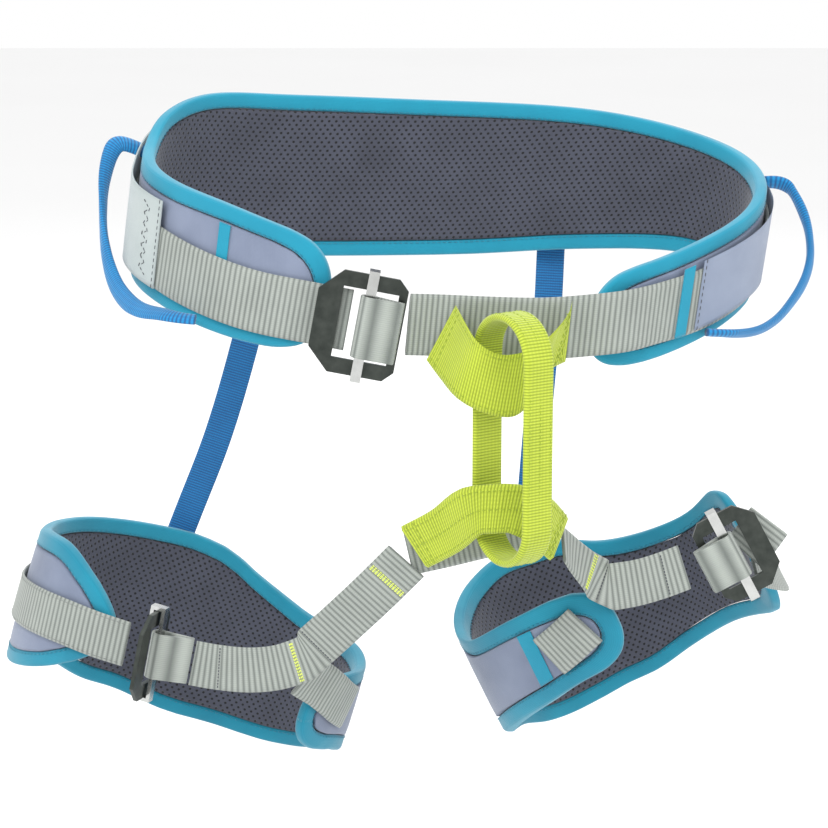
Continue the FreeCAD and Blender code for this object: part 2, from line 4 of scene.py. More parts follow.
import bmesh
import bpy
import numpy as np
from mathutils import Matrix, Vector


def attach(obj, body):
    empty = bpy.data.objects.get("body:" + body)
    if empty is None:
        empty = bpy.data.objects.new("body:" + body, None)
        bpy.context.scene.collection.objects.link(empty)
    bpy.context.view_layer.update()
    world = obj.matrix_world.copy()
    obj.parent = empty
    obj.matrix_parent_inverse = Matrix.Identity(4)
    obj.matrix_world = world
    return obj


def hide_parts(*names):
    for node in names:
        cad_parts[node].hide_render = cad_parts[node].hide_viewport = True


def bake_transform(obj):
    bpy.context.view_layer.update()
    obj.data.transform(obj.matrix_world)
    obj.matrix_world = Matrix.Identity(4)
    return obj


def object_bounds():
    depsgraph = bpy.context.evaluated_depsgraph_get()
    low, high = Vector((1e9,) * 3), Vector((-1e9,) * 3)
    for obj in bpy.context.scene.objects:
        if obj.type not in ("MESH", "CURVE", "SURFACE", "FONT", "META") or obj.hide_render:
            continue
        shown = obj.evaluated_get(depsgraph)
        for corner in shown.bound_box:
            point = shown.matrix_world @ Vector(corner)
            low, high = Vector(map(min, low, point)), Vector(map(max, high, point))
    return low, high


# Climbing harness. Metres, in the CAD frame: +X to the wearer's left, +Y to the back, +Z up.
# Every strap and pad is redrawn on the corner lines of its own CAD solid. A strap's "rails" are its two
# edges and the thickness vector that runs from one face to the other, all sampled at the same places.

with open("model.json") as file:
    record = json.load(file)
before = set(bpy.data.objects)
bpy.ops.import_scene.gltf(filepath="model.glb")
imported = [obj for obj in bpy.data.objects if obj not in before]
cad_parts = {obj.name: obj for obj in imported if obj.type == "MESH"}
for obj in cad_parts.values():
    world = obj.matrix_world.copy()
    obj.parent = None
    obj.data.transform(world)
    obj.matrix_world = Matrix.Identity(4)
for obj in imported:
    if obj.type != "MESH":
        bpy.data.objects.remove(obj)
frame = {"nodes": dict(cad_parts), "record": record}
CAD_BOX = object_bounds()
NODES = frame["nodes"]
BODY_OF = {
    node: body
    for body, nodes in frame["record"]["behaviour"]["bodies"].items()
    for node in nodes
}

MM = 0.001
SHARP = math.radians(40)  # CAD edges sharper than this are corner lines
SAME_PLACE = 2e-6  # CAD vertices closer than this are one
TINY = 1e-12
RIB = 3.2 * MM  # rib spacing of the grey webbing
FINE_RIB = 1.7 * MM  # rib spacing of the lime webbing and the tapes
FINE_RELIEF = 0.07 * MM
RAIL_POINTS = 400
PAD_POINTS = 900
PAD_RAIL_POINTS = 500
BINDING_POINTS = 700
JOINED_POINTS = 900


# ---------------------------------------------------------------- reading the CAD solids


def merged_mesh(node):
    """A copy of a CAD solid's mesh with its coincident vertices joined, and the vertex positions."""
    mesh = bmesh.new()
    mesh.from_mesh(NODES[node].data)
    bmesh.ops.remove_doubles(mesh, verts=mesh.verts, dist=SAME_PLACE)
    mesh.verts.index_update()
    mesh.verts.ensure_lookup_table()
    return mesh, np.array([vertex.co[:] for vertex in mesh.verts])


def sharp_graph(node):
    """Neighbours of each corner vertex along the solid's sharp edges, and the vertex positions."""
    mesh, points = merged_mesh(node)
    links = {}
    for edge in mesh.edges:
        if len(edge.link_faces) == 2 and edge.calc_face_angle(0) > SHARP:
            a, b = (vertex.index for vertex in edge.verts)
            links.setdefault(a, set()).add(b)
            links.setdefault(b, set()).add(a)
    mesh.free()
    return links, points


def walk(links, start, step, used):
    """Vertices along one corner line, from start until it ends at a corner or closes."""
    path = [start, step]
    while len(links[path[-1]]) == 2 and path[-1] != start:
        used.add(path[-1])
        onward = [other for other in links[path[-1]] if other != path[-2]]
        path.append(onward[0])
    return path


def open_rails(node):
    """The rails of a strap solid with two square ends."""
    links, points = sharp_graph(node)
    corners = [vertex for vertex in links if len(links[vertex]) == 3]
    used = set()
    paths = []
    for corner in corners:
        for step in sorted(links[corner]):
            if len(links[step]) == 2 and step not in used:
                paths.append(walk(links, corner, step, used))
    paths = sorted(paths, key=len, reverse=True)[:4]
    lines = [points[path] for path in paths]
    run = lines[0][-1] - lines[0][0]
    lines = [line if (line[-1] - line[0]) @ run >= 0 else line[::-1] for line in lines]
    lines = [resample(line, RAIL_POINTS) for line in lines]
    mate = 1 + int(np.argmin([spread(line, lines[0]) for line in lines[1:]]))
    others = [index for index in (1, 2, 3) if index != mate]
    first = (lines[0], lines[mate])
    second = (lines[others[0]], lines[others[1]])
    if spread(second[1], first[0]) < spread(second[0], first[0]):
        second = (second[1], second[0])
    return order_rails(first, second)


def spread(line, other):
    """Mean distance between two lines sampled at the same places."""
    return np.linalg.norm(line - other, axis=1).mean()


def order_rails(first, second):
    """Rails from the two corner lines of each edge, with the lower edge first."""
    low = (first[0] + first[1]) / 2
    high = (second[0] + second[1]) / 2
    thick = ((first[1] - first[0]) + (second[1] - second[0])) / 2
    if low[:, 2].mean() > high[:, 2].mean():
        low, high = high, low
    return low, high, thick


def resample(line, count, closed=False):
    """The same line through evenly spaced points."""
    if closed:
        line = np.vstack([line, line[:1]])
    travelled = distance_along(line)
    wanted = np.linspace(0, travelled[-1], count, endpoint=not closed)
    return read_at(wanted, travelled, line)


def distance_along(line):
    """How far along the line each of its points lies."""
    return np.concatenate([[0], np.cumsum(np.linalg.norm(np.diff(line, axis=0), axis=1))])


def read_at(wanted, places, values):
    """Vectors known at some places, read at others."""
    return np.stack([np.interp(wanted, places, values[:, axis]) for axis in range(3)], axis=1)


def closed_loops(node, count):
    """Every closed corner line of a solid, evenly resampled, longest first."""
    links, points = sharp_graph(node)
    used = set()
    loops = []
    for start in sorted(links):
        if start in used or len(links[start]) != 2:
            continue
        used.add(start)
        path = walk(links, start, min(links[start]), used)
        loops.append(points[path[:-1]])
    loops = sorted(loops, key=lambda line: -np.linalg.norm(line - np.roll(line, 1, 0), axis=1).sum())
    return [resample(line, count, closed=True) for line in loops]


def match_loop(loop, guide):
    """Start and direction of a loop changed to run alongside the guide loop."""
    best = None
    for candidate in (loop, loop[::-1]):
        shift = int(np.argmin(np.linalg.norm(candidate - guide[0], axis=1)))
        rolled = np.roll(candidate, -shift, axis=0)
        cost = np.linalg.norm(rolled - guide, axis=1).sum()
        if best is None or cost < best[0]:
            best = (cost, rolled)
    return best[1]


def smooth(line, rounds, closed=False):
    """A few rounds of averaging, ends kept, to take the corners off a polyline."""
    for _ in range(rounds):
        average = (np.roll(line, 1, 0) + 2 * line + np.roll(line, -1, 0)) / 4
        if not closed:
            average[0], average[-1] = line[0], line[-1]
        line = average
    return line


def unit(vectors):
    return vectors / np.maximum(np.linalg.norm(vectors, axis=-1, keepdims=True), TINY)


def length_of(line):
    return float(np.linalg.norm(np.diff(line, axis=0), axis=1).sum())


# ---------------------------------------------------------------- mesh building


def add_mesh(name, points, faces, material, uv=None, shade=True):
    mesh = bpy.data.meshes.new(name)
    mesh.from_pydata([tuple(point) for point in points], [], faces)
    mesh.validate()
    piece = bpy.data.objects.new(name, mesh)
    bpy.context.scene.collection.objects.link(piece)
    mesh.materials.append(material)
    if uv is not None:
        layer = mesh.uv_layers.new(name="cloth")
        loop_vertices = np.zeros(len(mesh.loops), dtype=np.int32)
        mesh.loops.foreach_get("vertex_index", loop_vertices)
        layer.data.foreach_set("uv", uv[loop_vertices].astype(np.float32).ravel())
    solid = bmesh.new()
    solid.from_mesh(mesh)
    bmesh.ops.recalc_face_normals(solid, faces=solid.faces)
    solid.to_mesh(mesh)
    solid.free()
    if shade:
        mesh.polygons.foreach_set("use_smooth", [True] * len(mesh.polygons))
    return piece


def place(piece, body, slot, *nodes):
    """Rides a piece on its body and hides the CAD nodes it stands for. The slot argument is not used."""
    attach(piece, body)
    if nodes:
        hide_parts(*nodes)
    return piece


def ring_surface(rings, closed):
    """Faces joining equal rings of points; open runs get a cap at both ends."""
    count, size = rings.shape[:2]
    faces = []
    for row in range(count if closed else count - 1):
        ahead = (row + 1) % count
        for column in range(size):
            side = (column + 1) % size
            faces.append((row * size + column, row * size + side, ahead * size + side, ahead * size + column))
    if not closed:
        faces.append(tuple(range(size))[::-1])
        faces.append(tuple((count - 1) * size + column for column in range(size)))
    return faces


def ring_mesh(name, rings, uvs, material, closed=False):
    """Surface through lines that run side by side, each with its own cloth coordinates."""
    rings = np.stack(rings, axis=1)
    uv = np.stack(uvs, axis=1).reshape(-1, 2)
    return add_mesh(name, rings.reshape(-1, 3), ring_surface(rings, closed), material, uv)


def face_normals(line, across, thick, closed=False):
    """Unit normals of a strap's face, on the side its thickness points to."""
    face = unit(np.cross(tangents(line, closed), across))
    return face * np.sign((face * thick).sum(axis=1, keepdims=True) + TINY)


def webbing(name, low, high, thick, material, rib=RIB, relief=0.1 * MM, closed=False, columns=14):
    """Woven strap between two edges, with cross ribs and rounded selvedges."""
    middle = (low + high) / 2
    run = length_of(middle)
    count = int(max(24, min(1600, run / (rib / 5))))
    low, high, thick = (resample_set(line, count, closed) for line in (low, high, thick))
    across = high - low
    width = np.linalg.norm(across, axis=1, keepdims=True)
    face = face_normals((low + high) / 2, across, thick, closed)
    half = np.linalg.norm(thick, axis=1, keepdims=True) / 2
    travelled = np.linspace(0, run, count)
    wave = relief * (0.5 + 0.5 * np.cos(2 * math.pi * travelled / rib))[:, None]
    rings = []
    uvs = []
    for side in (1, -1):
        for column in range(columns + 1):
            share = column / columns if side == 1 else 1 - column / columns
            edge = min(share, 1 - share) * width
            round_off = np.clip(edge / (1.1 * half), 0, 1)
            lift = np.sqrt(1 - (1 - round_off) ** 2)
            height = half * (0.18 + 0.82 * lift) - wave * np.clip((edge - 1.5 * MM) / MM, 0, 1)
            rings.append(low + across * share + face * height * side)
            uvs.append(np.stack([travelled, np.full(count, share) * width[:, 0]], axis=1))
    return ring_mesh(name, rings, uvs, material, closed)


def resample_set(values, count, closed):
    """Values carried along a rail, read at an even share of its points."""
    source = np.vstack([values, values[:1]]) if closed else values
    share = np.linspace(0, len(source) - 1, count, endpoint=not closed)
    return read_at(share, np.arange(len(source)), source)


def tangents(line, closed):
    if closed:
        return unit(np.roll(line, -1, 0) - np.roll(line, 1, 0))
    return unit(np.gradient(line, axis=0))


def strap(node, material, slot, **options):
    """Replaces a CAD strap with its woven twin and returns its rails."""
    low, high, thick = open_rails(node)
    rounds = 10
    piece = webbing("web_" + node, smooth(low, rounds), smooth(high, rounds), thick, material, **options)
    place(piece, BODY_OF[node], slot, node)
    return low, high, thick


def turned(rails):
    """The same rails, run from the other end."""
    return tuple(values[::-1] for values in rails)


def joined(first, second, rounds=250):
    """Two straps that follow one another, as one set of rails with a soft turn between them."""
    def middle(run, index):
        return (run[0][index] + run[1][index]) / 2

    def gap(end, start):
        return np.linalg.norm(middle(first, end) - middle(second, start))

    end, start = min(((end, start) for end in (0, -1) for start in (0, -1)), key=lambda ends: gap(*ends))
    if end == 0:
        first = turned(first)
    if start == -1:
        second = turned(second)
    low, high, thick = second
    if np.linalg.norm(low[0] - first[0][-1]) > np.linalg.norm(high[0] - first[0][-1]):
        low, high = high, low
    if thick[0] @ first[2][-1] < 0:
        thick = -thick
    rails = [np.vstack(pair) for pair in zip(first, (low, high, thick))]
    travelled = distance_along((rails[0] + rails[1]) / 2)
    wanted = np.linspace(0, travelled[-1], JOINED_POINTS)
    return tuple(smooth(read_at(wanted, travelled, rail), rounds) for rail in rails)


def lengthened(line, extra):
    """The line carried on past its last point."""
    ahead = unit(line[-1] - line[-12])
    more = [line[-1] + ahead * extra * share for share in np.linspace(0.1, 1, 10)]
    return resample(np.vstack([line, more]), len(line))


def bend(piece):
    """Bakes the transform of a soft piece that crosses one joint into its mesh."""
    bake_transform(piece)
    return piece


def sheet(name, low, high, thick, material, crown=0.0, cells=18):
    """Closed cloth sheet between two rails, crowned away from its inner face."""
    count = int(max(24, length_of((low + high) / 2) / (3 * MM)))
    low, high, thick = (resample_set(line, count, False) for line in (low, high, thick))
    run = np.linspace(0, length_of((low + high) / 2), count)
    rings = []
    uvs = []
    for side in (1, -1):
        for cell in range(cells + 1):
            share = cell / cells if side == 1 else 1 - cell / cells
            bulge = crown * (1 - (2 * share - 1) ** 4)
            offset = thick * (0.5 * side) + unit(thick) * (bulge if side == 1 else 0)
            rings.append(low + (high - low) * share + offset)
            uvs.append(np.stack([run, share * np.linalg.norm(high - low, axis=1)], axis=1))
    return ring_mesh(name, rings, uvs, material)


# ---------------------------------------------------------------- pads


def perimeter_rails(loop):
    """A band layer's closed edge split at its two tips into a low and a high rail."""
    middle = (loop.min(axis=0) + loop.max(axis=0)) / 2
    plan = np.unwrap(np.arctan2(loop[:, 1] - middle[1], loop[:, 0] - middle[0]))
    start, end = sorted((int(np.argmin(plan)), int(np.argmax(plan))))
    one = resample(loop[start:end + 1], PAD_RAIL_POINTS)
    other = resample(np.vstack([loop[end:], loop[:start + 1]])[::-1], PAD_RAIL_POINTS)
    return (one, other) if one[:, 2].mean() < other[:, 2].mean() else (other, one)


def pad(prefix, lining_material, shell_material):
    """Padded band drawn as one crowned cushion: mesh lining inside, woven shell outside."""
    body = BODY_OF[prefix + "_lining"]
    inner = closed_loops(prefix + "_lining", PAD_POINTS)
    outer = closed_loops(prefix + "_shell", PAD_POINTS)
    centre = np.vstack(inner).mean(axis=0)
    inside = min(inner[:2], key=lambda loop: plan_radius(loop, centre))
    outside = max(outer[:2], key=lambda loop: plan_radius(loop, centre))
    outside = match_loop(outside, inside)
    low, high = perimeter_rails(inside)
    low_out = nearest_on(outside, low)
    high_out = nearest_on(outside, high)
    thick = (low_out - low + high_out - high) / 2
    lining_thick = thick * 0.4
    piece = sheet(prefix + "_lining_mesh", low + lining_thick / 2, high + lining_thick / 2, lining_thick,
                  lining_material, cells=28)
    place(piece, body, "lining_mesh", prefix + "_lining", prefix + "_foam")
    shell_thick = thick * 0.5
    piece = sheet(prefix + "_shell_cloth", low_out - shell_thick / 2, high_out - shell_thick / 2, shell_thick,
                  shell_material, crown=0.5 * MM, cells=28)
    place(piece, body, "shell_fabric", prefix + "_shell")


def plan_radius(loop, centre):
    return np.linalg.norm((loop - centre)[:, :2], axis=1).mean()


def by_plan_radius(pair):
    """The two faces of a closed edge, the one nearer the middle of the band first."""
    middle = np.vstack(pair).mean(axis=0)
    return tuple(sorted(pair, key=lambda loop: plan_radius(loop, middle)))


def local_height(loop):
    """Mid height of the band near each point of its closed edge."""
    low, high = perimeter_rails(loop)
    middle = (low + high) / 2
    gap = np.linalg.norm(loop[:, None, :2] - middle[None, :, :2], axis=2)
    return middle[np.argmin(gap, axis=1), 2]


def nearest_on(loop, points):
    """For each point, the nearest point of the loop."""
    distance = np.linalg.norm(points[:, None, :] - loop[None, :, :], axis=2)
    return loop[np.argmin(distance, axis=1)]


def binding(prefix, material, stitch_material):
    """Edge tape folded round the pad: a rounded section swept round the whole edge."""
    node = prefix + "_binding"
    loops = closed_loops(node, BINDING_POINTS)
    guide = loops[0]
    loops = [guide] + [match_loop(loop, guide) for loop in loops[1:4]]
    mate = 1 + int(np.argmin([spread(loop, guide) for loop in loops[1:]]))
    pairs = [(guide, loops[mate]), tuple(loops[index] for index in (1, 2, 3) if index != mate)]
    pairs = [by_plan_radius(pair) for pair in pairs]
    inner, outer = sorted(pairs, key=lambda pair: np.abs(pair[0][:, 2] - local_height(pair[0])).mean())
    rounds = 3
    outer = [smooth(loop, rounds, True) for loop in outer]
    inner = [smooth(loop, rounds, True) for loop in inner]
    rim = (outer[0] + outer[1]) / 2
    root = (inner[0] + inner[1]) / 2
    thick = (outer[1] - outer[0] + inner[1] - inner[0]) / 2
    rings = []
    uvs = []
    steps = 24
    tape_width = 10 * MM
    stitch_share = 0.16
    travelled = distance_along(rim)
    for step in range(steps):
        angle = 2 * math.pi * step / steps
        reach = math.copysign(abs(math.cos(angle)) ** 0.45, math.cos(angle))
        side = math.copysign(abs(math.sin(angle)) ** 0.7, math.sin(angle))
        share = 0.5 + 0.5 * reach
        rings.append(root + (rim - root) * share + thick * (0.5 * side))
        uvs.append(np.stack([travelled, np.full(len(rim), share * tape_width)], axis=1))
    piece = ring_mesh(node + "_tape", rings, uvs, material, closed=True)
    place(piece, BODY_OF[node], "teal_binding", node)
    for label, sign in (("inner", -1), ("outer", 1)):
        line = root + (rim - root) * stitch_share + thick * (0.5 * sign)
        stitches("stitch_%s_%s" % (node, label), line, unit(thick) * sign, stitch_material,
                 BODY_OF[node], "teal_binding", closed=True)


# ---------------------------------------------------------------- stitches


def stitches(name, line, normals, material, body, slot, closed=False, stitch=2.4 * MM, gap=1.1 * MM,
             radius=0.28 * MM):
    """A row of sewn stitches: small spindles lying on the cloth."""
    run = length_of(np.vstack([line, line[:1]]) if closed else line)
    count = max(1, int(run / (stitch + gap)))
    centres = resample_set(line, count, closed)
    upward = unit(resample_set(normals, count, closed))
    along = tangents(centres, closed) if count > 2 else unit(np.repeat([line[-1] - line[0]], count, 0))
    points = []
    faces = []
    for centre, normal, direction in zip(centres, upward, along):
        aside = np.cross(normal, direction)
        base = len(points)
        for share, swell in ((-0.5, 0.35), (-0.3, 1.0), (0.3, 1.0), (0.5, 0.35)):
            for corner in range(5):
                angle = 2 * math.pi * corner / 5
                spread = aside * math.cos(angle) + normal * (math.sin(angle) + 0.4)
                points.append(centre + direction * stitch * share + spread * radius * swell)
        for ring in range(3):
            for corner in range(5):
                side = (corner + 1) % 5
                row = base + ring * 5
                faces.append((row + corner, row + side, row + 5 + side, row + 5 + corner))
        faces.append(tuple(base + corner for corner in range(5))[::-1])
        faces.append(tuple(base + 15 + corner for corner in range(5)))
    piece = add_mesh(name, points, faces, material)
    return place(piece, body, slot) if body else piece


def row_on(rails, share, side, start=0.0, end=1.0):
    """Line along a strap at a share of its width, on one face, with its normals."""
    low, high, thick = rails
    first = int(start * (len(low) - 1))
    last = max(first + 2, int(end * (len(low) - 1)))
    low, high, thick = (values[first:last] for values in (low, high, thick))
    middle = low + (high - low) * share
    face = face_normals(middle, high - low, thick) * side
    return middle + face * np.linalg.norm(thick, axis=1, keepdims=True) / 2, face


def cross_row(rails, at, side, inset=0.06):
    """Line across a strap at a share of its length, on one face."""
    low, high, thick = rails
    index = min(len(low) - 2, int(at * (len(low) - 1)))
    along = unit(low[index + 1] - low[index])
    face = unit(np.cross(along, high[index] - low[index]))
    face *= np.sign(face @ thick[index] + TINY) * side
    shares = np.linspace(inset, 1 - inset, 12)[:, None]
    line = low[index] + (high[index] - low[index]) * shares
    line = line + face * np.linalg.norm(thick[index]) / 2
    return line, np.repeat(face[None, :], len(line), 0)


def zigzag(rails, at, side, swing, turns):
    """Line across a strap that steps from side to side as it goes, with its normals."""
    low = rails[0]
    points_per_turn = 12
    index = min(len(low) - 2, int(at * (len(low) - 1)))
    line, normals = cross_row(rails, at, side, 0.1)
    along = unit(low[index + 1] - low[index])
    line = resample(line, turns * points_per_turn + 1)
    phase = np.abs((np.arange(len(line)) / points_per_turn) % 2 - 1) * 2 - 1
    return line + along * (phase * swing)[:, None], np.repeat(normals[:1], len(line), 0)


def outward_side(rails):
    """The face of a strap that looks away from the wearer, towards -Y."""
    low, high, thick = rails
    face = face_normals((low + high) / 2, high - low, thick)
    return 1 if face[:, 1].mean() < 0 else -1


# ---------------------------------------------------------------- materials


class Shader:
    """Small helper round one node material. Cloth coordinates are metres along and across the piece."""

    def __init__(self, name, roughness, sheen=0.0, metallic=0.0):
        self.material = bpy.data.materials.new(name)
        self.material.use_nodes = True
        self.tree = self.material.node_tree
        self.surface = self.tree.nodes["Principled BSDF"]
        self.surface.inputs["Roughness"].default_value = roughness
        self.surface.inputs["Metallic"].default_value = metallic
        self.surface.inputs["Sheen Weight"].default_value = sheen

    def node(self, kind, **settings):
        made = self.tree.nodes.new(kind)
        for key, value in settings.items():
            setattr(made, key, value)
        return made

    def maths(self, operation, first, second=None):
        made = self.node("ShaderNodeMath", operation=operation)
        for index, value in enumerate((first, second)):
            if value is None:
                continue
            if isinstance(value, (int, float)):
                made.inputs[index].default_value = value
            else:
                self.tree.links.new(value, made.inputs[index])
        return made.outputs[0]

    def cloth_axes(self):
        source = self.node("ShaderNodeUVMap", uv_map="cloth")
        split = self.node("ShaderNodeSeparateXYZ")
        self.tree.links.new(source.outputs[0], split.inputs[0])
        return split.outputs[0], split.outputs[1]

    def wave(self, axis, pitch):
        return self.maths("ADD", self.maths("MULTIPLY", self.maths("COSINE", self.maths(
            "MULTIPLY", axis, 2 * math.pi / pitch)), 0.5), 0.5)

    def noise(self, scale, detail=3.0):
        where = self.node("ShaderNodeTexCoord")
        made = self.node("ShaderNodeTexNoise")
        made.inputs["Scale"].default_value = scale
        made.inputs["Detail"].default_value = detail
        self.tree.links.new(where.outputs["Object"], made.inputs["Vector"])
        return made.outputs["Fac"]

    def mix(self, factor, dark, light):
        made = self.node("ShaderNodeMix", data_type="RGBA")
        self.tree.links.new(factor, made.inputs[0])
        for socket, colour in ((made.inputs[6], dark), (made.inputs[7], light)):
            if isinstance(colour, tuple):
                socket.default_value = (*colour, 1)
            else:
                self.tree.links.new(colour, socket)
        return made.outputs[2]

    def finish(self, colour, height=None, depth=0.0002):
        self.tree.links.new(colour, self.surface.inputs["Base Color"])
        if height is not None:
            bump = self.node("ShaderNodeBump")
            bump.inputs["Strength"].default_value = 0.7
            bump.inputs["Distance"].default_value = depth
            self.tree.links.new(height, bump.inputs["Height"])
            self.tree.links.new(bump.outputs[0], self.surface.inputs["Normal"])
        return self.material


def rgb(red, green, blue):
    """Linear colour from ordinary 0-255 values."""
    return tuple((value / 255) ** 2.2 for value in (red, green, blue))


def woven(name, dark, light, rib, yarn, roughness=0.75):
    """Ribbed webbing: cross ribs with painted shade in the grooves, fine yarn along it with painted shade
    between the yarns, and slow random tone changes.
    """
    shader = Shader(name, roughness, sheen=0.25)
    along, across = shader.cloth_axes()
    ribs = shader.wave(along, rib)
    groove = shader.maths("POWER", shader.maths("SUBTRACT", 1.0, ribs), 0.6)
    yarns = shader.wave(across, yarn)
    height = shader.maths("ADD", groove, shader.maths("MULTIPLY", yarns, 0.35))
    # Painted shade: the colour follows the rib and yarn height, darkest in the grooves and between the yarns;
    # the noise below adds random tone.
    shade = shader.maths("MULTIPLY", groove, shader.maths("ADD", 0.78, shader.maths("MULTIPLY", yarns, 0.22)))
    shade = shader.maths("ADD", shade, shader.maths("MULTIPLY", shader.maths(
        "SUBTRACT", shader.noise(55), 0.5), 0.35))
    return shader.finish(shader.mix(shade, dark, light), height, 0.00025)


def plain_cloth(name, dark, light, yarn=0.7 * MM, roughness=0.85, sheen=0.3):
    """Fine plain weave, with painted shade between the yarns."""
    shader = Shader(name, roughness, sheen=sheen)
    along, across = shader.cloth_axes()
    weave = shader.maths("MULTIPLY", shader.wave(along, yarn), shader.wave(across, yarn))
    # Painted shade: the colour follows the weave height, darker between the yarns; the noise adds random
    # tone.
    shade = shader.maths("ADD", shader.maths("MULTIPLY", weave, 0.35), shader.noise(28))
    return shader.finish(shader.mix(shade, dark, light), weave, 0.00012)


def pore_mesh(name, dark, light, pitch=4.4 * MM, radius=0.24):
    """Spacer mesh: staggered round pores sunk in a dark knit, with painted shade in the pores."""
    shader = Shader(name, 0.9, sheen=0.25)
    along, across = shader.cloth_axes()
    rows = shader.maths("DIVIDE", across, pitch * 0.62)
    odd = shader.maths("MODULO", shader.maths("FLOOR", rows), 2.0)
    columns = shader.maths("ADD", shader.maths("DIVIDE", along, pitch), shader.maths("MULTIPLY", odd, 0.5))
    from_x = shader.maths("SUBTRACT", shader.maths("FRACT", columns), 0.5)
    from_y = shader.maths("MULTIPLY", shader.maths("SUBTRACT", shader.maths("FRACT", rows), 0.5), 0.62)
    squared = shader.maths("ADD", shader.maths("MULTIPLY", from_x, from_x),
                           shader.maths("MULTIPLY", from_y, from_y))
    open_pore = shader.maths("SUBTRACT", shader.maths("SQRT", squared), radius * 0.6)
    knit = shader.maths("MAXIMUM", shader.maths("MULTIPLY", open_pore, 12.0), 0.0)
    knit = shader.maths("MINIMUM", knit, 1.0)
    # Painted shade: the sunk pores take the darkest colour; the noise gives the knit random tone.
    shade = shader.maths("MULTIPLY", knit, shader.maths("ADD", 0.55, shader.maths(
        "MULTIPLY", shader.noise(40), 0.6)))
    return shader.finish(shader.mix(shade, dark, light), knit, 0.0005)


def metal(name, colour, worn, roughness):
    """Metal whose colour and surface vary slightly, as if lightly worn."""
    shader = Shader(name, roughness, metallic=1.0)
    shade = shader.noise(160, 6.0)
    return shader.finish(shader.mix(shade, colour, worn), shade, 0.00004)


# Webbing colours: the dark end is partly painted shade in the grooves and between the yarns, partly random
# tone.
GREY = woven("grey_webbing", rgb(104, 110, 106), rgb(160, 166, 160), RIB, 1.2 * MM)
LIME = woven("lime_webbing", rgb(128, 146, 24), rgb(190, 206, 62), FINE_RIB, 2.4 * MM)
BLUE = woven("blue_tape", rgb(0, 78, 132), rgb(8, 138, 200), FINE_RIB, 1.5 * MM)
RISER_BLUE = woven("riser_tape", rgb(0, 66, 118), rgb(8, 116, 178), FINE_RIB, 1.5 * MM)
# Plain cloth colours, here and in the threads below: the dark end is partly painted shade between the yarns,
# partly random tone.
TEAL = plain_cloth("teal_binding", rgb(0, 122, 150), rgb(12, 144, 172), 0.9 * MM)
LEG_TEAL = plain_cloth("leg_teal_binding", rgb(0, 104, 130), rgb(14, 140, 166), 0.9 * MM)
SHELL = plain_cloth("shell_cloth", rgb(84, 94, 116), rgb(132, 142, 164))
PANEL = plain_cloth("panel_cloth", rgb(146, 158, 158), rgb(180, 189, 188), 0.5 * MM, roughness=0.6)
HIP = plain_cloth("hip_cover_cloth", rgb(104, 116, 138), rgb(146, 156, 176))
# Lining colours: the dark end is the painted shade in the pores.
LINING = pore_mesh("lining_mesh", rgb(22, 23, 28), rgb(72, 75, 88))
GUNMETAL = metal("gunmetal", rgb(48, 52, 50), rgb(84, 88, 84), 0.38)
CHROME = metal("chrome", rgb(170, 172, 170), rgb(205, 206, 204), 0.2)
LIME_THREAD = plain_cloth("lime_thread", rgb(190, 210, 60), rgb(225, 238, 110))
TEAL_THREAD = plain_cloth("teal_thread", rgb(0, 92, 118), rgb(10, 120, 145))
DARK_THREAD = plain_cloth("dark_thread", rgb(44, 48, 54), rgb(70, 74, 80))
GREY_THREAD = plain_cloth("grey_thread", rgb(104, 108, 106), rgb(130, 134, 132))
OLIVE_THREAD = plain_cloth("olive_thread", rgb(120, 140, 24), rgb(150, 170, 40))

# name, share of the way along the strap from bridge to buckle, thread, rows
STRAP_SEAMS = {
    "left": (("lime_tack", 0.1, LIME_THREAD, 4), ("dark_seam", 0.5, DARK_THREAD, 1),
             ("lime_join", 0.6, LIME_THREAD, 3), ("buckle_seam", 0.9, DARK_THREAD, 1)),
    "right": (("lime_tack", 0.3, LIME_THREAD, 3), ("dark_seam", 0.42, DARK_THREAD, 1),
              ("buckle_seam", 0.86, DARK_THREAD, 1)),
}


# ---------------------------------------------------------------- pieces


def build_pads():
    """The three padded bands and the tape round their edges."""
    for prefix in ("waist", "leg_left", "leg_right"):
        pad(prefix, LINING, SHELL)
        binding(prefix, TEAL if prefix == "waist" else LEG_TEAL, TEAL_THREAD)


def even_thickness(low, high, thick):
    """One thickness along the whole sheet, square to its face."""
    face = unit(np.cross(tangents((low + high) / 2, False), high - low))
    face *= np.sign((face * thick).sum() + TINY)
    return face * np.median(np.linalg.norm(thick, axis=1))


def build_covers():
    """Cloth panels and tape keepers that lie over the belt and the right leg loop."""
    for node, material, slot in (
        ("waist_back_cover", SHELL, "shell_fabric"),
        ("hip_panel_left", PANEL, "panel_fabric"),
        ("hip_cover_right", HIP, "shell_fabric"),
        ("waist_keeper_left", TEAL, "teal_binding"),
        ("waist_keeper_right", TEAL, "teal_binding"),
        ("leg_right_keeper", TEAL, "teal_binding"),
    ):
        low, high, thick = open_rails(node)
        rails = (low, high, even_thickness(low, high, thick))
        piece = sheet("cloth_" + node, *rails, material, cells=16)
        place(piece, BODY_OF[node], slot, node)
        if node in ("hip_panel_left", "hip_cover_right"):
            end_seams(node, rails, slot)
        if node == "hip_panel_left":
            front = 0.1 if low[0, 1] < low[-1, 1] else 0.9
            line, normals = zigzag(rails, front, outward_side(rails), 3 * MM, 13)
            stitches("zigzag_" + node, line, normals, DARK_THREAD, BODY_OF[node], slot)


def end_seams(node, rails, slot):
    """A sewn row close to each end of a panel."""
    points = 60
    for number, at in enumerate((0.012, 0.988)):
        line, normals = cross_row(rails, at, outward_side(rails), 0.02)
        stitches("edge_%s_%d" % (node, number), resample(line, points), np.repeat(normals[:1], points, 0),
                 DARK_THREAD, BODY_OF[node], slot)


